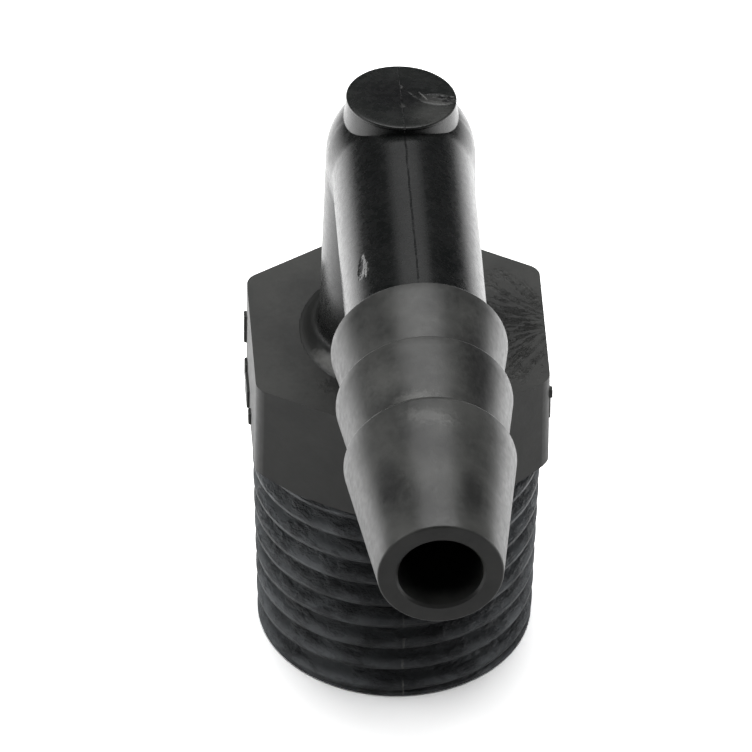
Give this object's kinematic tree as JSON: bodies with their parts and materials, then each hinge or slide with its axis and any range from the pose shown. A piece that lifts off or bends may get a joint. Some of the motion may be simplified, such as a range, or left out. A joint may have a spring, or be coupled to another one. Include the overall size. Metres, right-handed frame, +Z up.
{
  "type": "threaded hose barb elbow",
  "caption": "Right-angle irrigation hose fitting, a male taper pipe thread with a spanner hexagon below a riser that turns into a barbed outlet.",
  "frame": {"origin": "middle of the fitting's footprint box, on the plane of the thread end", "axes": "+Z up along the thread axis, -Y the way the barbed outlet points, +X to the right seen from the outlet"},
  "size_m": [0.0144, 0.0392, 0.0337],
  "materials": {
    "thread_moulding": "black nylon, dull and slightly scaly",
    "hex_moulding": "black nylon, fine satin",
    "gloss_moulding": "black nylon, semi-gloss from a polished mould",
    "barb_moulding": "black nylon, even matte"
  },
  "bodies": {
    "root": {"threaded_shank": "thread_moulding", "hex_collar": "hex_moulding", "riser_column": "gloss_moulding", "elbow_knuckle": "gloss_moulding", "top_boss": "gloss_moulding", "outlet_stem": "gloss_moulding", "barb_1": "barb_moulding", "barb_2": "barb_moulding", "nose_barb": "barb_moulding"}
  },
  "joints": []
}
